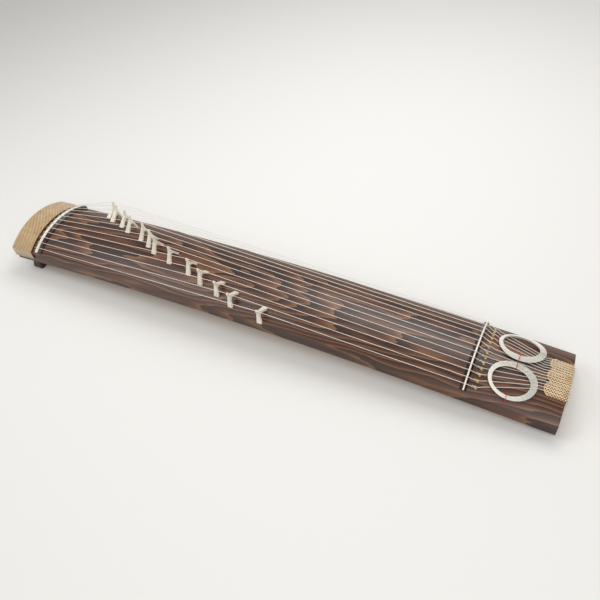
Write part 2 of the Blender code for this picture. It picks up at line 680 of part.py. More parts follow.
def make_head_cover():
    """Brocade cover drawn over the head: top, upper sides and the end in one sheet."""
    end_x = HEAD_X - GAP - END_PLATE_THICKNESS - GAP
    stations = spread(RYUKAKU_X + COVER_TAIL_EDGE, HEAD_X, COVER_STATIONS)
    rows = [cover_row(x, x) for x in stations] + [cover_row(HEAD_X, end_x)]
    bm = bmesh.new()
    verts = [[bm.verts.new(point) for point in row] for row in rows]
    for row, other in zip(verts, verts[1:]):
        for index in range(len(row) - 1):
            bm.faces.new((row[index], row[index + 1], other[index + 1], other[index]))
    bm.faces.new(verts[-1])
    mesh = mesh_from(bm, "head_cover")
    cover = add_object("head_cover", mesh, "brocade")
    inside = Vector((HEAD_X, 0, underside(HEAD_X)))
    outward = (mesh.polygons[0].center - inside).dot(mesh.polygons[0].normal) > 0
    solidify = cover.modifiers.new("cloth", "SOLIDIFY")
    solidify.thickness = COVER_THICKNESS
    solidify.offset = 1.0 if outward else -1.0
    solidify.use_even_offset = True


def pad_front(across):
    """Place of the pad's scalloped front edge at an arc length from the crown."""
    share = (across / PAD_HALF_WIDTH + 1) / 2 * PAD_LOBES
    bulge = abs(math.sin(math.pi * share))
    return UNKAKU_X + PAD_LOBE_TIP + PAD_CUSP_DEPTH * (1 - bulge)


def make_leaf_pad():
    """Three-lobed brocade leaf over the tail end, folded down the end face."""
    bm = bmesh.new()
    columns = spread(-PAD_HALF_WIDTH, PAD_HALF_WIDTH, PAD_LOBES * PAD_LOBE_POINTS)
    sheets = []
    for height in (GAP, GAP + PAD_THICKNESS):
        sheet = []
        for across in columns:
            front = pad_front(across)
            top = [on_board(along, across, height) for along in (front, mix(front, TAIL_X, 0.5))]
            corner = on_board(TAIL_X, across, height)
            corner.x += height
            hem = Vector((corner.x, corner.y, on_board(TAIL_X, across).z - PAD_FOLD))
            sheet.append([bm.verts.new(point) for point in (*top, corner, hem)])
        sheets.append(sheet)
    low, high = sheets
    last = len(low[0]) - 1
    for index in range(len(columns) - 1):
        for step in range(last):
            for sheet in sheets:
                bm.faces.new((sheet[index][step], sheet[index + 1][step],
                              sheet[index + 1][step + 1], sheet[index][step + 1]))
        for step in (0, last):
            bm.faces.new((low[index][step], low[index + 1][step], high[index + 1][step], high[index][step]))
    for index in (0, len(columns) - 1):
        for step in range(last):
            bm.faces.new((low[index][step], low[index][step + 1], high[index][step + 1], high[index][step]))
    add_object("leaf_pad", mesh_from(bm, "leaf_pad"), "brocade")


# Coils of spare string

def coil_ring(side, angle):
    """Section of a coil's band: widest away from the ties, narrow beside them."""
    centre_x, centre_s = UNKAKU_X + COIL_CENTRE, side * COIL_SPACING
    spread_out = (1 - math.cos(angle + side * math.pi / 4)) / 2
    band = mix(COIL_WIDE_BAND, COIL_NARROW_BAND, spread_out)
    half_length, half_span = COIL_HALF_LENGTH - band / 2, COIL_HALF_WIDTH - band / 2
    ring = []
    for step in range(COIL_SIDES):
        turn = 2 * math.pi * (step + 0.5) / COIL_SIDES
        out = band / 2 * math.cos(turn)
        height = COIL_BOTTOM + COIL_THICKNESS / 2 * (1 + math.sin(turn))
        ring.append(on_board(centre_x + (half_length + out) * math.cos(angle),
                             centre_s + (half_span + out) * math.sin(angle), height))
    return ring


def tie_loop(name, x, across, half_width_here):
    """Thread once round a bundle that runs along the board."""
    low, high = COIL_BOTTOM - GAP - TIE_RADIUS, COIL_BOTTOM + COIL_THICKNESS + GAP + TIE_RADIUS
    points = []
    for step in range(TIE_STEPS):
        turn = 2 * math.pi * step / TIE_STEPS
        height = mix(low, high, (1 + max(-1.0, min(1.0, 1.35 * math.sin(turn)))) / 2)
        reach = half_width_here + TIE_RADIUS
        points.append(on_board(x, across + reach * max(-1.0, min(1.0, 1.35 * math.cos(turn))), height))
    tube(name, points, [TIE_RADIUS] * len(points), "red_thread", cyclic=True)


def make_coils():
    """Two coils side by side as a figure eight, with a tie in the middle and one on the near coil."""
    for side, name in ((1, "player_side"), (-1, "far_side")):
        rings = [coil_ring(side, 2 * math.pi * step / COIL_STEPS) for step in range(COIL_STEPS)]
        loft(f"spare_string_coil_{name}", rings, "string_fibre", closed=True)
    centre_x = UNKAKU_X + COIL_CENTRE
    tie_loop("middle_tie", centre_x, 0.0, MIDDLE_TIE_HALF_WIDTH + COIL_NARROW_BAND / 2)
    band_middle = COIL_HALF_WIDTH - COIL_NARROW_BAND / 2
    tie_loop("coil_tie", centre_x - 0.004, -COIL_SPACING - band_middle, NEAR_TIE_HALF_WIDTH + 0.003)


# Assembly

def clear_scene():
    """Removes the startup objects and makes the collections."""
    for leftover in list(bpy.data.objects):
        bpy.data.objects.remove(leftover, do_unlink=True)
    for name in ("koto", "koto_cutters"):
        bpy.context.scene.collection.children.link(bpy.data.collections.new(name))


def stand_on_feet():
    """Turns the body about Y so that all soles are level, and centres it over the origin."""
    start, height, slope = ground_line()
    stand = bpy.data.objects.new("koto_stand", None)
    bpy.data.collections["koto"].objects.link(stand)
    level = Matrix.Rotation(math.atan(slope), 4, "Y")
    sole = level @ Vector((start, 0, height))
    head = level @ Vector((HEAD_X - 3 * GAP - END_PLATE_THICKNESS - COVER_THICKNESS, 0, edge_height(HEAD_X)))
    tail = level @ Vector((TAIL_X + PAD_STRING_HEIGHT + END_BEND_CLEARANCE + STRING_RADIUS, 0, camber(TAIL_X)))
    placed = Matrix.Translation((-(head.x + tail.x) / 2, 0, -sole.z)) @ level
    stand.matrix_world = placed
    for name in ("koto", "koto_cutters"):
        for piece in bpy.data.collections[name].objects:
            if piece is not stand:
                piece.parent = stand


def build_koto():
    """Builds every piece and stands the koto up."""
    clear_scene()
    make_shell()
    make_back_board()
    make_inner_pieces()
    make_ridges()
    make_bridges()
    make_ferrules()
    make_strings()
    make_feet()
    make_head_cover()
    make_leaf_pad()
    make_coils()
    stand_on_feet()


build_koto()
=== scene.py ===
"""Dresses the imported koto: fine surfaces, strings, spare coils, brocade, materials, camera and light.

Units are metres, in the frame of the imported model. Lengths along the board are arc lengths.
"""

import json
import logging
import math
from dataclasses import dataclass
from enum import Enum

import bpy
import numpy as np
from mathutils import Matrix, Vector

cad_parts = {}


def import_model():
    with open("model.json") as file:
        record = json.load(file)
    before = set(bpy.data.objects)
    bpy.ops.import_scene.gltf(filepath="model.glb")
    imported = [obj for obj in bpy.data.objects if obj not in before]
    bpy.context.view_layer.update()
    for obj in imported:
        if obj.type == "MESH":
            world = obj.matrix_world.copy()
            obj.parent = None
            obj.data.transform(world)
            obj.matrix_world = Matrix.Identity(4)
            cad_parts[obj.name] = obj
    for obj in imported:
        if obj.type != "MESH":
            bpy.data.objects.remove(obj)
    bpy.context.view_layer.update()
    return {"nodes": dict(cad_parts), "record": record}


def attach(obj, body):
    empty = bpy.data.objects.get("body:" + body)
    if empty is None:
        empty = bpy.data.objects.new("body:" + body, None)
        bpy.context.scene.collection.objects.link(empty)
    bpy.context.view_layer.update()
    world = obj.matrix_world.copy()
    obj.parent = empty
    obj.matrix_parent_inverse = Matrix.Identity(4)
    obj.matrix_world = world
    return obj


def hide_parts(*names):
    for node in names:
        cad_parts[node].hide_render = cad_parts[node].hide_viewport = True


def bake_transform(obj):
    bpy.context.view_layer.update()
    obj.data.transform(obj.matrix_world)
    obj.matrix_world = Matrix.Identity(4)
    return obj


LOG = logging.getLogger("koto")
STRING_NUMBERS = range(1, 14)
MIDDLE_STRING = 7
# Clearance between pieces that touch
GAP = 0.0003
SHARP_ANGLE = math.radians(35)
PLATE_THICKNESS = 0.004


class Lay(Enum):
    """Side of the figure eight that a coil of spare string lies on."""

    PLAYER_SIDE = 1
    FAR_SIDE = -1


@dataclass
class KotoForm:
    """Sizes of the koto's body and the shape that they give its board."""

    head_margin: float = 0.112
    scale_length: float = 1.464
    tail_margin: float = 0.240
    widths: tuple[float, float] = (0.255, 0.238)
    arch_radii: tuple[float, float] = (0.232, 0.2215)
    side_depths: tuple[float, float] = (0.046, 0.040)
    camber: float = 0.0227
    top_thickness: float = 0.014
    side_thickness: float = 0.013
    head_foot: tuple[float, float] = (0.045, 0.052)
    tail_foot: tuple[float, float] = (-0.050, 0.016)
    head_overhang: float = 0.0071
    tail_overhang: float = 0.0058
    bridge_places: tuple[float, ...] = (0.870, 0.765, 0.709, 0.641, 0.588, 0.505, 0.433,
                                        0.398, 0.354, 0.283, 0.242, 0.185, 0.152)
    string_pitches: tuple[float, float] = (0.01928, 0.0176)

    def __post_init__(self) -> None:
        """Works out the stations and the frame that stands the body on its feet."""
        self.length = self.head_margin + self.scale_length + self.tail_margin
        self.head_x, self.tail_x = -self.length / 2, self.length / 2
        self.ryukaku_x = self.head_x + self.head_margin
        self.unkaku_x = self.tail_x - self.tail_margin
        head, tail = self.head_x + self.head_foot[0], self.tail_x + self.tail_foot[0]
        head_z = float(self.underside(head)) - self.head_foot[1]
        tail_z = float(self.underside(tail)) - self.tail_foot[1]
        level = Matrix.Rotation(math.atan((tail_z - head_z) / (tail - head)), 4, "Y")
        ends = [level @ Vector((self.head_x - self.head_overhang, 0, float(self.edge(self.head_x)))),
                level @ Vector((self.tail_x + self.tail_overhang, 0, float(self.crown(self.tail_x))))]
        sole = level @ Vector((head, 0, head_z))
        self.stand = Matrix.Translation((-(ends[0].x + ends[1].x) / 2, 0, -sole.z)) @ level

    def share(self, x: np.ndarray) -> np.ndarray:
        """Place between the ridges: 0 at the ryukaku, 1 at the unkaku."""
        return (np.asarray(x, float) - self.ryukaku_x) / self.scale_length

    def between(self, pair: tuple[float, float], share: np.ndarray) -> np.ndarray:
        """Value at a share of the way between a pair of values."""
        return pair[0] + (pair[1] - pair[0]) * share

    def radius(self, x: np.ndarray) -> np.ndarray:
        """Radius of the cross arch."""
        return self.between(self.arch_radii, self.share(x))

    def crown(self, x: np.ndarray) -> np.ndarray:
        """Height of the crown line: a parabola over the line between the ridges."""
        share = self.share(x)
        return 4 * self.camber * share * (1 - share)

    def half_width(self, x: np.ndarray) -> np.ndarray:
        """Half the body's width."""
        return self.between(self.widths, (np.asarray(x, float) - self.head_x) / self.length) / 2

    def edge(self, x: np.ndarray) -> np.ndarray:
        """Height where the arch meets the side."""
        radius = self.radius(x)
        return self.crown(x) - radius + np.sqrt(radius ** 2 - self.half_width(x) ** 2)

    def underside(self, x: np.ndarray) -> np.ndarray:
        """Height of the flat underside."""
        share = (np.asarray(x, float) - self.head_x) / self.length
        return self.edge(x) - self.between(self.side_depths, share)

    def world(self, points: np.ndarray) -> np.ndarray:
        """Body points placed in the model's frame.

        Args:
            points: array whose last axis is x, y and z.

        Returns:
            The same array in the model's frame.
        """
        matrix = np.array(self.stand)
        return points @ matrix[:3, :3].T + matrix[:3, 3]

    def board(self, x: np.ndarray, across: np.ndarray, height: np.ndarray = 0.0) -> np.ndarray:
        """Points over the board: an arc of the cross arch carried along the crown line.

        Args:
            x: stations along the body.
            across: arc lengths from the crown.
            height: heights over the board, square to the arch.

        Returns:
            Points in the model's frame.
        """
        given = (np.asarray(value, float) for value in (x, across, height))
        x, across, height = np.broadcast_arrays(*given)
        radius = self.radius(x)
        angle = across / radius
        z = (radius + height) * np.cos(angle) - radius + self.crown(x)
        return self.world(np.stack([x, (radius + height) * np.sin(angle), z], axis=-1))

    def string_across(self, number: int, x: np.ndarray) -> np.ndarray:
        """Arc length from the crown to a string at a station."""
        return (number - MIDDLE_STRING) * self.between(self.string_pitches, self.share(x))


def linear(code: str) -> tuple[float, float, float, float]:
    """Linear colour of an sRGB hex value, by the sRGB transfer curve."""
    values = [int(code[index:index + 2], 16) / 255 for index in (1, 3, 5)]
    return (*(v / 12.92 if v <= 0.04045 else ((v + 0.055) / 1.055) ** 2.4 for v in values), 1.0)


def add_node(tree: bpy.types.NodeTree, kind: str, inputs: dict | None = None,
             stops: list[tuple[float, str]] | None = None, **settings: object) -> bpy.types.Node:
    """Adds one shader node with its settings, values and links.

    Args:
        tree: node tree of a material.
        kind: Blender's name of the node type.
        inputs: socket to a value or to the output socket that feeds it.
        stops: places and hex colours of a colour ramp.
        settings: attributes of the node.

    Returns:
        The new node.
    """
    made = tree.nodes.new(kind)
    for name, value in settings.items():
        setattr(made, name, value)
    for name, value in (inputs or {}).items():
        if isinstance(value, bpy.types.NodeSocket):
            tree.links.new(value, made.inputs[name])
        else:
            made.inputs[name].default_value = value
    if stops:
        elements = made.color_ramp.elements
        while len(elements) < len(stops):
            elements.new(0.5)
        for element, (place, code) in zip(elements, stops):
            element.position = place
            element.color = linear(code)
    return made


@dataclass(frozen=True)
class Grain:
    """Figure of a flat-sawn board: its growth rings and its pores."""

    ring_width: float
    apex: float
    taper: float = 0.055
    bow: float = 4.5
    sway: float = 9.0
    sway_scale: tuple[float, float, float] = (1.6, 9.0, 9.0)
    pore_scale: tuple[float, float, float] = (14.0, 420.0, 420.0)
    pore_share: float = 0.22


@dataclass(frozen=True)
class Finish:
    """A finish of the koto: what it is made of, its colours and its gloss."""

    name: str
    colours: tuple[str, ...]
    roughness: float
    metallic: float = 0.0
    bump: float = 0.0

    def start(self) -> tuple[bpy.types.Material, bpy.types.NodeTree, bpy.types.Node, bpy.types.NodeSocket]:
        """Starts the material with its gloss.

        Returns:
            The material, its node tree, its shader and its Object coordinates.
        """
        made = bpy.data.materials.new(self.name)
        made.use_nodes = True
        shader = made.node_tree.nodes["Principled BSDF"]
        shader.inputs["Roughness"].default_value = self.roughness
        shader.inputs["Metallic"].default_value = self.metallic
        place = add_node(made.node_tree, "ShaderNodeTexCoord").outputs["Object"]
        return made, made.node_tree, shader, place

    def colour(self, tree: bpy.types.NodeTree, shader: bpy.types.Node, pattern: bpy.types.NodeSocket,
               start: float = 0.0, reach: float = 1.0) -> None:
        """Colours the shader through the finish's colours, spread evenly over a part of the pattern's range.

        Args:
            tree: node tree of the material.
            shader: the material's shader.
            pattern: value that picks the colour.
            start: value of the first colour.
            reach: span from the first colour to the last.
        """
        last = len(self.colours) - 1
        stops = [(start + reach * index / last, code) for index, code in enumerate(self.colours)]
        ramp = add_node(tree, "ShaderNodeValToRGB", {0: pattern}, stops=stops)
        tree.links.new(ramp.outputs[0], shader.inputs["Base Color"])

    def relief(self, tree: bpy.types.NodeTree, shader: bpy.types.Node, height: bpy.types.NodeSocket) -> None:
        """Bumps the shader by a height pattern."""
        bump = add_node(tree, "ShaderNodeBump", {"Height": height, "Distance": self.bump, "Strength": 1.0})
        tree.links.new(bump.outputs[0], shader.inputs["Normal"])

    def wood(self, grain: Grain) -> bpy.types.Material:
        """Flat-sawn wood: nested parabolas of growth rings, with fine pores drawn out along the grain.

        The ring's number is the run along the board times the taper, plus the square of the place across
        times the bow, both over the ring's width, plus a slow noise that sways it.

        Args:
            grain: figure of the board.

        Returns:
            The material.
        """
        made, tree, shader, place = self.start()
        taper, bow = grain.taper / grain.ring_width, grain.bow / grain.ring_width
        axes = add_node(tree, "ShaderNodeSeparateXYZ", {0: place}).outputs
        slow = add_node(tree, "ShaderNodeMapping", {0: place, "Scale": grain.sway_scale}).outputs[0]
        cloud = add_node(tree, "ShaderNodeTexNoise", {"Vector": slow, "Scale": 1.0, "Detail": 3.0}).outputs[0]
        run = add_node(tree, "ShaderNodeMath", {0: axes[0], 1: -grain.apex}, operation="ADD").outputs[0]
        run = add_node(tree, "ShaderNodeMath", {0: run, 1: taper}, operation="MULTIPLY").outputs[0]
        arc = add_node(tree, "ShaderNodeMath", {0: axes[1], 1: axes[1]}, operation="MULTIPLY").outputs[0]
        arc = add_node(tree, "ShaderNodeMath", {0: arc, 1: bow}, operation="MULTIPLY").outputs[0]
        rings = add_node(tree, "ShaderNodeMath", {0: run, 1: arc}, operation="ADD").outputs[0]
        sway = add_node(tree, "ShaderNodeMath", {0: cloud, 1: grain.sway}, operation="MULTIPLY").outputs[0]
        rings = add_node(tree, "ShaderNodeMath", {0: rings, 1: sway}, operation="ADD").outputs[0]
        band = add_node(tree, "ShaderNodeMath", {0: rings}, operation="FRACT").outputs[0]
        fine = add_node(tree, "ShaderNodeMapping", {0: place, "Scale": grain.pore_scale}).outputs[0]
        pores = add_node(tree, "ShaderNodeTexNoise", {"Vector": fine, "Scale": 1.0, "Detail": 4.0}).outputs[0]
        mixed = add_node(tree, "ShaderNodeMix", {"Factor": grain.pore_share, 2: band, 3: pores}).outputs[0]
        self.colour(tree, shader, mixed)
        self.relief(tree, shader, pores)
        return made

    def brocade(self, cell: float, patches: float = 55.0, patch_share: float = 0.30) -> bpy.types.Material:
        """Woven lozenges: the product of two diagonal waves, mixed with a cloud of worn patches.

        Args:
            cell: width of one lozenge.
            patches: worn patches to a metre.
            patch_share: share of the patches in the colour.

        Returns:
            The material.
        """
        made, tree, shader, place = self.start()
        pitch = math.pi / cell
        axes = add_node(tree, "ShaderNodeSeparateXYZ", {0: place}).outputs
        waves = []
        for way in ("ADD", "SUBTRACT"):
            slant = add_node(tree, "ShaderNodeMath", {0: axes[0], 1: axes[1]}, operation=way).outputs[0]
            slant = add_node(tree, "ShaderNodeMath", {0: slant, 1: pitch}, operation="MULTIPLY").outputs[0]
            wave = add_node(tree, "ShaderNodeMath", {0: slant}, operation="SINE").outputs[0]
            waves.append(add_node(tree, "ShaderNodeMath", {0: wave}, operation="ABSOLUTE").outputs[0])
        cells = add_node(tree, "ShaderNodeMath", dict(enumerate(waves)), operation="MULTIPLY").outputs[0]
        cloud = {"Vector": place, "Scale": patches, "Detail": 2.0}
        patch = add_node(tree, "ShaderNodeTexNoise", cloud).outputs[0]
        mixed = add_node(tree, "ShaderNodeMix", {"Factor": patch_share, 2: cells, 3: patch}).outputs[0]
        self.colour(tree, shader, mixed, start=0.15, reach=0.6)
        shader.inputs["Sheen Weight"].default_value = 0.4
        self.relief(tree, shader, cells)
        return made

    def mottled(self, scale: float) -> bpy.types.Material:
        """Even finish with a faint cloud of its colours, as moulded, turned or twisted pieces have.

        Args:
            scale: spots of the cloud to a metre.

        Returns:
            The material.
        """
        made, tree, shader, place = self.start()
        spots = {"Vector": place, "Scale": scale, "Detail": 3.0}
        cloud = add_node(tree, "ShaderNodeTexNoise", spots).outputs[0]
        self.colour(tree, shader, cloud, start=0.35, reach=0.3)
        self.relief(tree, shader, cloud)
        return made


# Paulownia scorched with an iron and waxed: dark brown with lighter growth rings and a soft sheen
BURNT_PAULOWNIA = Finish("burnt_paulownia", ("#22120C", "#3A2015", "#5C3722", "#8E6440"), 0.36, bump=0.0002)
# Planed paulownia: pale, dry and open-pored
PLAIN_PAULOWNIA = Finish("plain_paulownia", ("#9C7B57", "#B4946C", "#C4A680"), 0.65, bump=0.0002)
# Polished rosewood: near black with red-brown streaks
ROSEWOOD = Finish("polished_rosewood", ("#1B0D09", "#2C1610", "#44241A"), 0.30, bump=0.00005)
# Moulded plastic in the colour of ivory
IVORY_PLASTIC = Finish("ivory_plastic", ("#E3DACA", "#F0E8D6"), 0.32, bump=0.00003)
# Twisted polyester string, off-white
STRING_FIBRE = Finish("twisted_string", ("#DCD8CC", "#EFECE4"), 0.50, bump=0.0001)
# Turned and polished brass
BRASS = Finish("polished_brass", ("#C9A45C", "#DDBD7A"), 0.28, metallic=1.0, bump=0.00002)
# Gold brocade: metallic thread over a brown ground
BROCADE = Finish("gold_brocade", ("#5E3A1E", "#9A6E3C", "#C8A468", "#E2CDA0"), 0.50, bump=0.0006)
# Piping of the same brocade, its gold thread laid close
BROCADE_PIPING = Finish("brocade_piping", ("#C9A868", "#E6D3A4"), 0.45, bump=0.0002)
# Red silk thread
RED_THREAD = Finish("red_thread", ("#A81428", "#C82038"), 0.55, bump=0.0001)


def surface(name: str, grid: np.ndarray, material: bpy.types.Material, wrap: bool = False,
            caps: bool = False) -> bpy.types.Object:
    """Mesh of a grid of points, joined row to row.

    Args:
        name: name of the new object.
        grid: points as rows, columns and coordinates.
        material: finish of the piece.
        wrap: whether the last column joins the first.
        caps: whether the first and last row are closed by a face.

    Returns:
        The object, smooth shaded, in the scene.
    """
    rows, columns = grid.shape[:2]
    index = np.arange(rows * columns).reshape(rows, columns)
    after = np.roll(index, -1, axis=1)
    if not wrap:
        index, after = index[:, :-1], after[:, :-1]
    faces = np.stack([index[:-1], after[:-1], after[1:], index[1:]], axis=-1).reshape(-1, 4).tolist()
    if caps:
        whole = np.arange(rows * columns).reshape(rows, columns)
        faces += [whole[0][::-1].tolist(), whole[-1].tolist()]
    mesh = bpy.data.meshes.new(name)
    mesh.from_pydata(grid.reshape(-1, 3).tolist(), [], faces)
    mesh.materials.append(material)
    mesh.shade_smooth()
    mesh.set_sharp_from_angle(angle=SHARP_ANGLE)
    made = bpy.data.objects.new(name, mesh)
    bpy.context.scene.collection.objects.link(made)
    return made


def turn_outwards(piece: bpy.types.Object) -> None:
    """Turns the faces of a closed piece outwards by the sign of its volume."""
    mesh = piece.data
    volume = sum(polygon.center.dot(polygon.normal) * polygon.area for polygon in mesh.polygons)
    if volume < 0:
        mesh.flip_normals()


def round_tube(name: str, path: np.ndarray, radius: float, material: bpy.types.Material, sides: int = 8,
               reference: tuple[float, float, float] = (0.0, 1.0, 0.0)) -> bpy.types.Object:
    """Round tube: a circle carried along a path that stays near a plane square to the reference.

    Args:
        name: name of the new object.
        path: points of the centreline.
        radius: radius of the tube.
        material: finish of the piece.
        sides: points round the circle.
        reference: direction square to the path's plane.

    Returns:
        The tube, closed at both ends.
    """
    run = np.gradient(path, axis=0)
    run /= np.linalg.norm(run, axis=1, keepdims=True)
    normal = np.cross(run, reference)
    normal /= np.linalg.norm(normal, axis=1, keepdims=True)
    side = np.cross(normal, run)
    turn = np.linspace(0, 2 * math.pi, sides, endpoint=False)[None, :, None]
    grid = path[:, None] + radius * (np.cos(turn) * side[:, None] + np.sin(turn) * normal[:, None])
    made = surface(name, grid, material, wrap=True, caps=True)
    turn_outwards(made)
    return made


@dataclass
class Body:
    """Soundboard shell with its side walls, as one fine surface."""

    form: KotoForm
    stations: int = 120
    arch_points: int = 40

    def arch(self, x: np.ndarray, half_span: np.ndarray, lift: float) -> np.ndarray:
        """Arc over each station: a circle of the arch's radius, cut at a half span.

        Args:
            x: stations along the body, one to a row.
            half_span: half of each arc's width.
            lift: height of the arc over the board, or under it.

        Returns:
            Points in the body's frame, one arc to a row.
        """
        radius = self.form.radius(x) + lift
        limit = np.arcsin(half_span / radius)
        angle = limit * np.linspace(-1, 1, self.arch_points)
        z = radius * np.cos(angle) + self.form.crown(x) - self.form.radius(x)
        return np.stack([np.broadcast_to(x, angle.shape), radius * np.sin(angle), z], axis=-1)

    def build(self, wood: bpy.types.Material) -> None:
        """Builds the shell: its outer arch and sides, then its inner ones, carried from head to tail."""
        x = np.linspace(self.form.head_x, self.form.tail_x, self.stations)[:, None]
        outer = self.form.half_width(x)
        inner = outer - self.form.side_thickness
        low = self.form.underside(x)
        corners = [np.stack([x, side, low], axis=-1) for side in (-outer, outer, inner, -inner)]
        top = self.arch(x, outer, 0.0)
        hollow = self.arch(x, inner, -self.form.top_thickness)[:, ::-1]
        grid = np.concatenate([corners[0], top, corners[1], corners[2], hollow, corners[3]], axis=1)
        shell = surface("soundboard", self.form.world(grid), wood, wrap=True, caps=True)
        turn_outwards(shell)
        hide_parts("soundboard_shell")
        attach(shell, "body")
        LOG.info("soundboard shell built")


@dataclass
class Strings:
    """Thirteen strings, each in a head part and a tail part that bend over its bridge."""

    form: KotoForm
    radius: float = 0.0007
    over_ridge: float = 0.0155
    over_bridge: float = 0.0539
    ferrule_top: float = 0.0026
    hole_depth: float = 0.020
    ferrule_offset: float = 0.027
    hole_offset: float = -0.024
    ryukaku_reach: float = 0.0073
    unkaku_reach: float = 0.0041
    return_pitch: float = 0.0085
    return_offset: float = 0.0032
    return_height: float = 0.001
    end_clearance: float = 0.0014
    pad_height: float = 0.0037
    pad_tip: float = 0.184
    sound_hole_edge: float = 0.1045
    coils_end: float = 0.1708
    fan_points: int = 12
    fan_end: float = 0.88
    flange_radius: float = 0.0042
    over_flange: float = 0.0036
    knot_end: tuple[float, float, float] = (-0.010, -0.0003, 0.0065)

    def stops(self, number: int, places: list[tuple[float, float]]) -> np.ndarray:
        """Points of a string over the board.

        Args:
            number: the string's number.
            places: stations and heights over the board.

        Returns:
            Points in the model's frame.
        """
        x = np.array([place[0] for place in places])
        height = np.array([place[1] for place in places])
        return self.form.board(x, self.form.string_across(number, x), height)

    def returning(self, number: int) -> np.ndarray:
        """String out of the tail's sound hole, round the tail's end and back to its knot.

        Args:
            number: the string's number.

        Returns:
            Points in the model's frame.
        """
        form = self.form
        side = (number - MIDDLE_STRING) * self.return_pitch
        edge_x = form.unkaku_x + self.sound_hole_edge
        round_reach = self.pad_height + self.end_clearance
        ferrule_x = form.unkaku_x + self.ferrule_offset
        knot = float(form.string_across(number, ferrule_x)) + self.return_offset
        inside, hidden = 0.011, 0.0013
        board_low, tail_low = float(form.underside(edge_x)), float(form.underside(form.tail_x))
        low = [(edge_x, board_low + inside), (edge_x, board_low - hidden),
               (form.tail_x + round_reach, tail_low - GAP - self.radius - self.end_clearance)]
        below = form.world(np.array([[x, side, z] for x, z in low]))
        end = form.board(form.tail_x, side, self.pad_height + self.end_clearance - GAP)
        end = end + np.array([round_reach, 0.0, -self.pad_height])
        share = np.linspace(0.0, self.fan_end, self.fan_points)
        fall_x = form.unkaku_x + self.coils_end
        fan = form.board(fall_x + (ferrule_x - fall_x) * share, side + (knot - side) * share,
                         self.return_height)
        reach, aside, height = self.knot_end
        tip = form.board(ferrule_x + np.array([0.006, -self.flange_radius, reach]),
                         knot + np.array([0.0, 0.0, aside]),
                         np.array([self.over_flange, self.over_flange, height]))
        on_pad = form.board(form.unkaku_x + self.pad_tip, side, self.pad_height)
        return np.concatenate([below, end[None], on_pad[None], fan, tip])

    def head_part(self, number: int) -> np.ndarray:
        """Points of a string from its hole over the ryukaku to its bridge."""
        ryukaku, hole = self.form.ryukaku_x, self.form.ryukaku_x + self.hole_offset
        return self.stops(number, [(hole, -self.hole_depth), (hole, GAP),
                                   (ryukaku - self.ryukaku_reach, self.over_ridge),
                                   (ryukaku + self.ryukaku_reach, self.over_ridge),
                                   (ryukaku + self.form.bridge_places[number - 1], self.over_bridge)])

    def tail_part(self, number: int) -> np.ndarray:
        """Points of a string from its bridge over the unkaku, into its ferrule and back to its knot."""
        form, unkaku = self.form, self.form.unkaku_x
        ferrule = unkaku + self.ferrule_offset
        over = self.stops(number, [(form.ryukaku_x + form.bridge_places[number - 1], self.over_bridge),
                                   (unkaku - self.unkaku_reach, self.over_ridge),
                                   (unkaku + self.unkaku_reach, self.over_ridge),
                                   (ferrule, self.ferrule_top), (ferrule, -form.top_thickness)])
        return np.concatenate([over, self.returning(number)])

    def build(self, fibre: bpy.types.Material) -> None:
        """Builds each string's two parts as round tubes."""
        for number in STRING_NUMBERS:
            bridge = f"bridge_body_{number:02d}"
            head, tail = self.head_part(number), self.tail_part(number)
            for part, path, bodies, ends in (("head", head, ("body", bridge), head[-2:]),
                                             ("tail", tail, (bridge, "body"), tail[:2])):
                piece = round_tube(f"string_{number:02d}_{part}", path, self.radius, fibre)
                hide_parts(f"string_{number:02d}")
                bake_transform(piece)
        LOG.info("strings built")


@dataclass
class SpareCoil:
    """Spare string wound in a flat band on one side of the figure eight."""

    form: KotoForm
    lay: Lay
    centre: float = 0.1073
    half_length: float = 0.0632
    half_width: float = 0.0525
    spacing: float = 0.0550
    narrow: float = 0.011
    wide: float = 0.022
    bottom: float = 0.0041
    thickness: float = 0.009
    diameter: float = 0.0014
    turns: int = 16
    lanes: int = 8
    points_each_turn: int = 26
    climb_turns: float = 0.5
    layer_fill: float = 0.8

    def path(self) -> np.ndarray:
        """Turns of the coil: an oval whose lane moves out over one layer, then back over the next.

        The string climbs to the next layer in the last half turn of a layer.

        Returns:
            Points in the model's frame.
        """
        turn = np.linspace(0, self.turns, self.turns * self.points_each_turn)
        angle = 2 * math.pi * turn + math.pi
        narrowing = (1 - np.cos(angle + self.lay.value * math.pi / 4)) / 2
        band = self.wide + (self.narrow - self.wide) * narrowing
        layer, lane = turn // self.lanes, (turn % self.lanes) / self.lanes
        lane = np.where(layer.astype(int) % 2 == 0, lane, 1 - lane)
        climb = np.clip((turn % self.lanes - self.lanes + self.climb_turns) / self.climb_turns, 0, 1)
        out = (lane - 0.5) * (band - 2 * self.diameter)
        along = (self.half_length - band / 2 + out) * np.cos(angle)
        across = (self.half_width - band / 2 + out) * np.sin(angle)
        depth = (layer + climb) / (self.turns // self.lanes)
        height = self.bottom + self.diameter + depth * (self.thickness - 2 * self.diameter) * self.layer_fill
        return self.form.board(self.form.unkaku_x + self.centre + along,
                               self.lay.value * self.spacing + across, height)

    def build(self, fibre: bpy.types.Material) -> None:
        """Builds the coil as one cord."""
        path = self.path()
        name = self.lay.name.lower()
        curve = bpy.data.curves.new(f"spare_string_{name}", "CURVE")
        curve.dimensions = "3D"
        curve.bevel_depth = self.diameter / 2
        curve.bevel_resolution = 1
        curve.use_fill_caps = True
        spline = curve.splines.new("POLY")
        spline.points.add(len(path) - 1)
        spline.points.foreach_set("co", np.c_[path, np.ones(len(path))].ravel())
        curve.materials.append(fibre)
        piece = bpy.data.objects.new(curve.name, curve)
        bpy.context.scene.collection.objects.link(piece)
        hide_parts(f"spare_string_coil_{name}")
        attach(piece, "body")


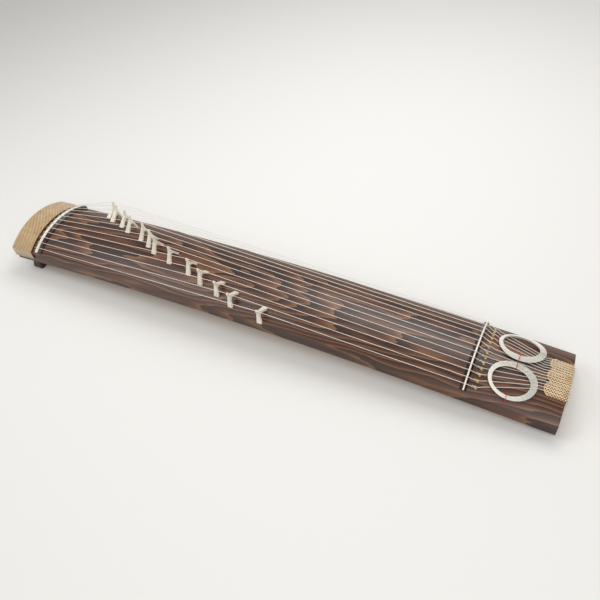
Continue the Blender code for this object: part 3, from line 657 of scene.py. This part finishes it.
@dataclass
class HeadCover:
    """Brocade cover over the head: top, upper sides and end."""

    form: KotoForm
    tail_edge: float = -0.031
    drop: float = 0.030
    thickness: float = 0.0022
    flat_length: float = 0.34
    thread_share: float = 0.9
    rows: int = 24
    columns: int = 60
    closing_rows: int = 7

    def grid(self) -> np.ndarray:
        """Rows over the arch and down the sides, then rows that draw in to the middle of the end's hem.

        Returns:
            Points in the body's frame.
        """
        form = self.form
        x = np.linspace(form.ryukaku_x + self.tail_edge, form.head_x, self.rows)[:, None]
        lift = GAP + self.thickness
        outer = form.half_width(x) + lift
        low = form.edge(x) - self.drop
        sides = [np.stack([x, sign * outer, low], axis=-1) for sign in (-1, 1)]
        arch = Body(form, arch_points=self.columns).arch(x, outer, lift)
        over = np.concatenate([sides[0], arch, sides[1]], axis=1)
        end = over[-1].copy()
        end[:, 0] = form.head_x - 3 * GAP - PLATE_THICKNESS - self.thickness
        share = np.arange(self.closing_rows)[:, None] / self.closing_rows
        hem = float(form.edge(form.head_x)) - self.drop
        closing = np.stack([end[:, 0] + 0 * share, end[:, 1] * (1 - share),
                            end[:, 2] + (hem - end[:, 2]) * share], axis=-1)
        return np.concatenate([over, closing], axis=0)

    def build(self, cloth: bpy.types.Material) -> None:
        """Builds the cover as one sheet and gives the cloth its thickness."""
        cover = surface("brocade_head_cover", self.form.world(self.grid()), cloth)
        faces = cover.data.polygons
        cover.data.flip_normals()
        wall = cover.modifiers.new("cloth", "SOLIDIFY")
        wall.thickness = self.thickness * self.thread_share
        wall.offset = -1.0 if faces[len(faces) // 3].normal.z > 0 else 1.0
        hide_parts("head_cover")
        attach(cover, "body")
        LOG.info("head cover built")


@dataclass
class LeafPad:
    """Brocade pad of three lobes that keeps the strings off the tail's edge."""

    form: KotoForm
    half_width: float = 0.060
    lobe_tip: float = 0.184
    cusp_depth: float = 0.014
    lobes: int = 3
    thickness: float = 0.0024
    edge_thickness: float = 0.0008
    fold: float = 0.020
    piping: float = 0.0009
    top_share: float = 0.8
    edge_softness: float = 0.06
    columns: int = 91
    rows: int = 30

    def front(self, across: np.ndarray) -> np.ndarray:
        """Station of the scalloped edge: one half wave for each lobe, between the cusps."""
        share = (across / self.half_width + 1) / 2 * self.lobes
        bulge = np.sqrt(np.abs(np.sin(math.pi * share)))
        return self.form.unkaku_x + self.lobe_tip + self.cusp_depth * (1 - bulge)

    def layer(self, across: np.ndarray, share: np.ndarray, height: np.ndarray) -> np.ndarray:
        """Points of one face of the pad: along the board to the tail's end, then down its face.

        Args:
            across: arc lengths from the crown, one for each column.
            share: 0 at the scalloped edge, top_share at the tail's end and 1 at the hem.
            height: heights over the board.

        Returns:
            Points in the model's frame.
        """
        form = self.form
        front = self.front(across)
        run = np.minimum(share / self.top_share, 1.0)
        points = form.board(front + (form.tail_x - front) * run, across, height)
        down = np.clip((share - self.top_share) / (1 - self.top_share), 0.0, 1.0)
        height, down, still = np.broadcast_arrays(height, down, np.zeros(points.shape[:-1]))
        out, fall = np.where(down > 0, height, 0.0), -down * (self.fold + height)
        return points + np.stack([out, still, fall], axis=-1)

    def build(self, cloth: bpy.types.Material, cord: bpy.types.Material) -> None:
        """Builds the pad as a closed crowned form and its piping along the scalloped edge."""
        across = np.linspace(-self.half_width, self.half_width, self.columns)[:, None]
        share = np.linspace(0.0, 1.0, self.rows)[None, :]
        lobe = np.abs(np.sin(math.pi * (across / self.half_width + 1) / 2 * self.lobes)) ** 0.4
        crown = (1 - np.exp(-share / self.edge_softness)) * lobe
        low = self.layer(across, share, np.full_like(crown, GAP))
        rise = self.edge_thickness + (self.thickness - self.edge_thickness) * crown
        grid = np.concatenate([low, self.layer(across, share, GAP + rise)[:, ::-1]], axis=1)
        pad = surface("leaf_pad_cushion", grid, cloth, wrap=True, caps=True)
        turn_outwards(pad)
        line = np.linspace(-self.half_width, self.half_width, 4 * self.columns)
        edge = self.form.board(self.front(line) - self.piping, line, self.piping + GAP)
        trim = round_tube("leaf_pad_piping", edge, self.piping, cord, reference=(0.0, 0.0, 1.0))
        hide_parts("leaf_pad")
        for piece in (pad, trim):
            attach(piece, "body")
        LOG.info("leaf pad built")


@dataclass
class Studio:
    """Floor, lamps and the camera at the photograph's angle, aimed from the top of the ryukaku."""

    form: KotoForm
    target: tuple[float, float, float] = (0.882, 0.092, -0.158)
    distance: float = 1.970
    azimuth: float = 31.97
    elevation: float = 48.50
    roll: float = -8.05
    lens: float = 36.47
    ridge_height: float = 0.0145
    sensor: float = 36.0
    floor_colour: str = "#E4E2DE"
    floor_reach: float = 12.0
    sky_colour: str = "#F2F2F2"
    sky_strength: float = 0.55
    aim: tuple[float, float, float] = (0.1, 0.0, 0.1)
    # Place, watts and size of each softbox
    lamps: tuple[tuple[tuple[float, float, float], float, float], ...] = (
        ((0.2, 1.4, 2.4), 38.0, 1.8), ((1.6, -1.8, 2.2), 26.0, 1.6), ((-1.6, -0.6, 2.4), 22.0, 1.6))

    def build(self) -> None:
        """Builds the floor, the lamps and the camera."""
        made, _tree, shader, _place = Finish("pale_floor", (self.floor_colour,), 0.8).start()
        shader.inputs["Base Color"].default_value = linear(self.floor_colour)
        reach = np.array([-self.floor_reach, self.floor_reach])
        x, y = np.meshgrid(reach, reach)
        surface("floor", np.stack([x, y, np.zeros_like(x)], axis=-1), made)
        world = bpy.data.worlds.new("studio")
        world.use_nodes = True
        sky = world.node_tree.nodes["Background"]
        sky.inputs["Color"].default_value = linear(self.sky_colour)
        sky.inputs["Strength"].default_value = self.sky_strength
        bpy.context.scene.world = world
        bpy.context.scene.view_settings.view_transform = "Standard"
        for number, (place, power, size) in enumerate(self.lamps):
            lamp = bpy.data.lights.new(f"softbox_{number}", "AREA")
            lamp.energy, lamp.size = power, size
            holder = bpy.data.objects.new(lamp.name, lamp)
            bpy.context.scene.collection.objects.link(holder)
            holder.location = place
            towards = Vector(self.aim) - Vector(place)
            holder.rotation_euler = towards.to_track_quat("-Z", "Y").to_euler()
        self.place_camera()

    def place_camera(self) -> None:
        """Places the camera by its azimuth, elevation and roll about the line of sight."""
        azimuth, elevation = math.radians(self.azimuth), math.radians(self.elevation)
        roll = math.radians(self.roll)
        flat = Vector((math.sin(azimuth), -math.cos(azimuth), 0)) * math.cos(elevation)
        back = flat + Vector((0, 0, math.sin(elevation)))
        right = Vector((0, 0, 1)).cross(back).normalized()
        up = back.cross(right)
        turned = Matrix((right * math.cos(roll) + up * math.sin(roll),
                         up * math.cos(roll) - right * math.sin(roll), back)).transposed().to_4x4()
        camera = bpy.data.cameras.new("photograph")
        camera.lens, camera.sensor_width = self.lens, self.sensor
        holder = bpy.data.objects.new("photograph", camera)
        bpy.context.scene.collection.objects.link(holder)
        ridge_top = Vector((self.form.ryukaku_x, 0, self.ridge_height))
        place = ridge_top + Vector(self.target) + back * self.distance
        holder.matrix_world = self.form.stand @ Matrix.Translation(place) @ turned
        bpy.context.scene.camera = holder


def dress_nodes(frame: dict, finishes: dict[str, bpy.types.Material]) -> None:
    """Gives each CAD node the finish of its material slot.

    Args:
        frame: the loaded frame.
        finishes: slot name to finish.
    """
    for entry in frame["record"]["subparts"]:
        node = frame["nodes"][entry["node"]]
        node.data.materials.clear()
        node.data.materials.append(finishes[entry["material_slot"]])


def main() -> None:
    """Builds the studio and every dressed piece, in order."""
    logging.basicConfig(level=logging.INFO, format="%(message)s")
    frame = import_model()
    form = KotoForm()
    Studio(form).build()
    finishes = {
        "burnt_paulownia": BURNT_PAULOWNIA.wood(Grain(ring_width=0.016, apex=0.30)),
        "plain_paulownia": PLAIN_PAULOWNIA.wood(Grain(ring_width=0.006, apex=0.0)),
        "rosewood": ROSEWOOD.wood(Grain(ring_width=0.003, apex=0.0)),
        "ivory_white": IVORY_PLASTIC.mottled(40.0),
        "string_fibre": STRING_FIBRE.mottled(600.0),
        "ferrule_brass": BRASS.mottled(60.0),
        "brocade": BROCADE.brocade(0.0075),
        "red_thread": RED_THREAD.mottled(600.0),
    }
    dress_nodes(frame, finishes)
    Body(form).build(finishes["burnt_paulownia"])
    Strings(form).build(finishes["string_fibre"])
    for lay in Lay:
        SpareCoil(form, lay).build(finishes["string_fibre"])
    HeadCover(form).build(finishes["brocade"])
    LeafPad(form).build(finishes["brocade"], BROCADE_PIPING.mottled(300.0))


if __name__ == "__main__":
    main()
